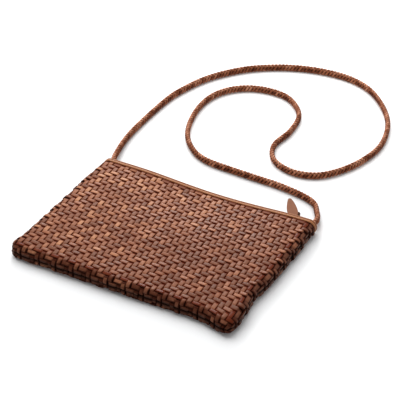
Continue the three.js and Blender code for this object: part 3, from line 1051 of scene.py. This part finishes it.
# Painted shade on the bag's edge walls, in blotches that pale stretches take less of, and the dark knots,
# partly painted shade
EDGE_SHADE_COLOUR = (0.07, 0.019, 0.008, 1)
KNOT_AND_SHADE_COLOUR = (0.1, 0.017, 0.005, 1)
EDGE_SHADE_LIMIT = 1.4
EDGE_SHADE_BLOTCHES = 2.6
EDGE_SHADE_CUT = 0.3
KNOT_AND_SHADE_BASE = 0.5
FULL_SHADE_AND_KNOT = 0.95

# Painted shade in the gaps between the strips, on the sides of the strips at the bag's edge, and in the
# seam
SHADE_AND_GROOVE_COLOUR = (0.088, 0.012, 0.003, 1)
EDGE_GAP_SHADE_COLOUR = (0.035, 0.007, 0.003, 1)
SEAM_SHADE_COLOUR = (0.012, 0.003, 0.001, 1)
END_SHADE_FADE = 0.14
SIDE_SHADE_FADE = 0.12
SIDE_SHADE_FROM = 1.2 * MM
SIDE_SHADE_TO = 2.1 * MM
SHADE_SHARE = 0.94
SEAM_SHADE_SHARE = 0.9


def woven_leather():
    """Strips of many shades and streaks, with painted shade in the gaps, on the bag's edge walls and,
    nearly black, in the seam.
    """
    material, tree, shader = new_material("woven_leather")
    worn = noise(tree, WEAR_SCALE)
    stretch = attribute(tree, "tone")
    turned = attribute(tree, "turned")
    across = attribute(tree, "across")
    flat = {"X": attribute(tree, "along") * STREAK_ALONG, "Y": across * STREAK_ACROSS}
    flat["Z"] = stretch * STREAK_SHIFT
    flat = result(add_node(tree, "ShaderNodeCombineXYZ", flat))
    streak = noise(tree, 1.0, BROAD_DETAIL, flat)
    x, y, _ = separated(object_place(tree))
    tone = stretch * STRETCH_TONE + attribute(tree, "strip_tone") * STRIP_TONE
    tone = tone + (streak - 0.5) * STREAK_TONE
    # painted light: the weave is lighter towards the back left, where the key light stands
    painted_light = x * LIGHT_FALLOFF[0] + y * LIGHT_FALLOFF[1]
    colour = ramp(tree, tone + painted_light, WOVEN_TONES)

    blotches = noise(tree, BLOTCH_SCALE, BROAD_DETAIL)
    shaded_edge = attribute(tree, "dye") * (EDGE_SHADE_LIMIT - stretch) * (blotches * EDGE_SHADE_BLOTCHES - EDGE_SHADE_CUT)
    colour = blend_colours(tree, colour, EDGE_SHADE_COLOUR, shaded_edge.at_most(FULL_SHADE_AND_KNOT).at_least(0.0))
    # the knots strip, partly painted shade below the fold where the strips turn over
    knotted_and_shaded = attribute(tree, "edge_strip") * (KNOT_AND_SHADE_BASE + blotches).at_most(FULL_SHADE_AND_KNOT)
    colour = blend_colours(tree, colour, KNOT_AND_SHADE_COLOUR, knotted_and_shaded)

    # painted shade in the gaps on each strip's shadow side and end, on the sides of the strips at the edge,
    # and the binding's painted shadow
    hollow_shade = smoothstep(attribute(tree, "gap_end"), 0.0, END_SHADE_FADE)
    rim_shade = smoothstep(attribute(tree, "gap_side"), 0.0, SIDE_SHADE_FADE)
    side = smoothstep(abs(across), SIDE_SHADE_FROM, SIDE_SHADE_TO) * turned
    dark = hollow_shade.at_least(rim_shade).at_least(attribute(tree, "shaded")).at_least(side) * SHADE_SHARE
    gap_shade = blend_colours(tree, SHADE_AND_GROOVE_COLOUR, EDGE_GAP_SHADE_COLOUR, turned)
    colour = blend_colours(tree, colour, gap_shade, dark)
    # nearly black painted shade in the seam's crease
    colour = blend_colours(tree, colour, SEAM_SHADE_COLOUR, attribute(tree, "seam") * SEAM_SHADE_SHARE)
    roughness = WOVEN_ROUGHNESS + worn * WEAR_ROUGHNESS + dark * RECESS_ROUGHNESS
    finished(shader, colour, roughness, gloss=0.07)
    bumped(tree, shader, worn * 0.5 + streak * 0.5, strength=0.3, distance=0.3 * MM)
    return material


STRAP_TONES = ((0.0, (0.085, 0.019, 0.007)), (0.45, (0.27, 0.086, 0.039)), (1.0, (0.58, 0.27, 0.165)))
STRAND_TONE = 0.5
LIT_EDGES_TONE = 0.45
WORN_TONE = 0.3
PATCH_TONE = 1.4
# Painted shade at the strands' edges and where they go under each other
STRAND_SHADE_COLOUR = (0.02, 0.003, 0.001, 1)
STRAND_SHADE_RIM = (0.45, 0.95)
STRAND_SHADE_HOLLOW = (-0.6, 0.5)
STRAND_SHADE_SHARE = 0.84


def strap_leather():
    """Strands of many shades, with painted light along the plait's upper and lower edge and painted shade
    between the strands.
    """
    material, tree, shader = new_material("strap_leather")
    worn = noise(tree, WEAR_SCALE)
    patches = noise(tree, PATCH_SCALE, BROAD_DETAIL)
    tone = attribute(tree, "tone") * STRAND_TONE + attribute(tree, "rubbed") * LIT_EDGES_TONE
    tone = tone + (worn - 0.5) * WORN_TONE + (patches - 0.5) * PATCH_TONE
    colour = ramp(tree, tone, STRAP_TONES)
    # painted shade between the strands
    rim_shade = smoothstep(attribute(tree, "edge"), *STRAND_SHADE_RIM)
    hollow_shade = 1 - smoothstep(attribute(tree, "lift"), *STRAND_SHADE_HOLLOW)
    colour = blend_colours(tree, colour, STRAND_SHADE_COLOUR, hollow_shade.at_least(rim_shade) * STRAND_SHADE_SHARE)
    finished(shader, colour, STRAP_ROUGHNESS + worn * WEAR_ROUGHNESS, gloss=0.06)
    bumped(tree, shader, worn, strength=0.25, distance=0.3 * MM)
    return material


BINDING_TONES = ((0.205, 0.074, 0.026, 1), (0.38, 0.156, 0.062, 1))
PULL_TONES = ((0.19, 0.077, 0.042, 1), (0.28, 0.122, 0.07, 1))
# The tail beneath the leaf is coloured dark as painted shade
PULL_TAIL_SHADE_TONES = ((0.04, 0.014, 0.007, 1), (0.08, 0.03, 0.016, 1))
RUB_SHARE = 0.7
GRAIN_SHARE = 0.3
GROOVE_SHARE = 0.8


def plain_leather(name, dark, light, roughness):
    """Smooth leather with fine grain, paler where it is worn and dark in a groove or at a cut edge."""
    material, tree, shader = new_material(name)
    rubbed = noise(tree, RUB_SCALE)
    grain = noise(tree, GRAIN_SCALE)
    colour = blend_colours(tree, dark, light, rubbed * RUB_SHARE + grain * GRAIN_SHARE)
    colour = blend_colours(tree, colour, SHADE_AND_GROOVE_COLOUR, attribute(tree, "groove") * GROOVE_SHARE)
    finished(shader, colour, roughness + grain * GRAIN_ROUGHNESS, gloss=0.2)
    bumped(tree, shader, grain, strength=0.3, distance=0.2 * MM)
    return material


THREAD_TONES = ((0.09, 0.03, 0.012, 1), (0.19, 0.075, 0.03, 1))
TAPE_TONES = ((0.035, 0.016, 0.009, 1), (0.09, 0.045, 0.027, 1))
TAPE_RIB = 0.7 * MM
TAPE_SLANT = 0.8 * MM
BRASS_TONES = ((0.36, 0.24, 0.1, 1), (0.62, 0.46, 0.22, 1))


def thread():
    material, tree, shader = new_material("binding_thread")
    fuzz = noise(tree, FUZZ_SCALE)
    finished(shader, blend_colours(tree, *THREAD_TONES, fuzz), THREAD_ROUGHNESS)
    bumped(tree, shader, fuzz, strength=0.4, distance=0.1 * MM)
    return material


def zip_cloth():
    """Herringbone tape: fine ribs that slant one way and then the other."""
    material, tree, shader = new_material("zip_tape")
    x, _, z = separated(object_place(tree))
    slanted = x + calc("PINGPONG", z, TAPE_SLANT)
    rib = sine(slanted * (2 * math.pi / TAPE_RIB)) * 0.5 + 0.5
    finished(shader, blend_colours(tree, *TAPE_TONES, rib), TAPE_ROUGHNESS)
    bumped(tree, shader, rib, strength=0.5, distance=0.2 * MM)
    return material


def brass():
    material, tree, shader = new_material("zip_metal")
    aged = noise(tree, TARNISH_SCALE)
    colour = blend_colours(tree, *BRASS_TONES, aged)
    finished(shader, colour, BRASS_ROUGHNESS + aged * TARNISH_ROUGHNESS)
    shader.inputs["Metallic"].default_value = 1.0
    bumped(tree, shader, aged, strength=0.1, distance=0.1 * MM)
    return material


# Floor, light and camera

# The floor is whiter towards the back, painted light that washes out the strap's shadow
FLOOR_FRONT = (0.76, 0.765, 0.77, 1)
FLOOR_PAINTED_LIGHT = (0.97, 0.97, 0.97, 1)
FLOOR_LIGHT_FADE = (0.1, 0.22)
FLOOR_HALF = 4.0
KEY_LIGHT = {"place": (-0.8, 0.7, 1.9), "size": 2.8, "power": 66, "is_mirrored": False}
SHEEN_LIGHT = {"place": (-1.0, 1.83, 0.9), "size": 0.6, "power": 22, "is_mirrored": True}
SKY_STRENGTH = 0.55


def floor():
    """A pale floor, whiter towards the back, painted light that washes out the strap's shadow there."""
    mesh = bpy.data.meshes.new("floor")
    corners = [(x * FLOOR_HALF, y * FLOOR_HALF, 0) for x, y in ((-1, -1), (1, -1), (1, 1), (-1, 1))]
    mesh.from_pydata(corners, [], [(0, 1, 2, 3)])
    made = bpy.data.objects.new("floor", mesh)
    bpy.context.scene.collection.objects.link(made)
    material, tree, shader = new_material("pale_floor")
    _, y, _ = separated(object_place(tree))
    colour = blend_colours(tree, FLOOR_FRONT, FLOOR_PAINTED_LIGHT, smoothstep(y, *FLOOR_LIGHT_FADE))
    finished(shader, colour, FLOOR_ROUGHNESS, gloss=0.2)
    mesh.materials.append(material)


def area_light(name, place, size, power, is_mirrored):
    """A round light that shines at the middle of the bag."""
    light = bpy.data.lights.new(name, "AREA")
    light.shape = "DISK"
    light.size = size
    light.energy = power
    made = bpy.data.objects.new(name, light)
    made.location = place
    made.rotation_mode = "QUATERNION"
    made.rotation_quaternion = Vector(place).to_track_quat("Z", "Y")
    made.visible_glossy = is_mirrored
    bpy.context.scene.collection.objects.link(made)


def studio():
    area_light("key", **KEY_LIGHT)
    area_light("sheen", **SHEEN_LIGHT)
    world = bpy.data.worlds.new("studio")
    world.use_nodes = True
    sky = world.node_tree.nodes["Background"]
    sky.inputs["Color"].default_value = (1, 1, 1, 1)
    sky.inputs["Strength"].default_value = SKY_STRENGTH
    bpy.context.scene.world = world
    bpy.context.scene.view_settings.view_transform = "Standard"


def camera():
    flat = math.cos(CAMERA_ELEVATION)
    back = Vector((
        math.sin(CAMERA_AZIMUTH) * flat, -math.cos(CAMERA_AZIMUTH) * flat, math.sin(CAMERA_ELEVATION),
    ))
    lens = bpy.data.cameras.new("camera")
    lens.lens = CAMERA_LENS
    lens.sensor_width = CAMERA_SENSOR
    made = bpy.data.objects.new("camera", lens)
    made.location = CAMERA_TARGET + back * CAMERA_DISTANCE
    made.rotation_mode = "QUATERNION"
    made.rotation_quaternion = back.to_track_quat("Z", "Y")
    bpy.context.scene.collection.objects.link(made)
    bpy.context.scene.camera = made


camera()
studio()
floor()
plaited_strap(strap_leather())
woven_panels(woven_leather())
mouth_binding(plain_leather("binding_leather", *BINDING_TONES, roughness=0.4), thread())
metal = brass()
closed_zip(zip_cloth(), metal)
zip_slider(metal)
zip_pull(
    plain_leather("pull_leather", *PULL_TONES, roughness=0.5),
    plain_leather("pull_tail_shaded_leather", *PULL_TAIL_SHADE_TONES, roughness=0.6),
)
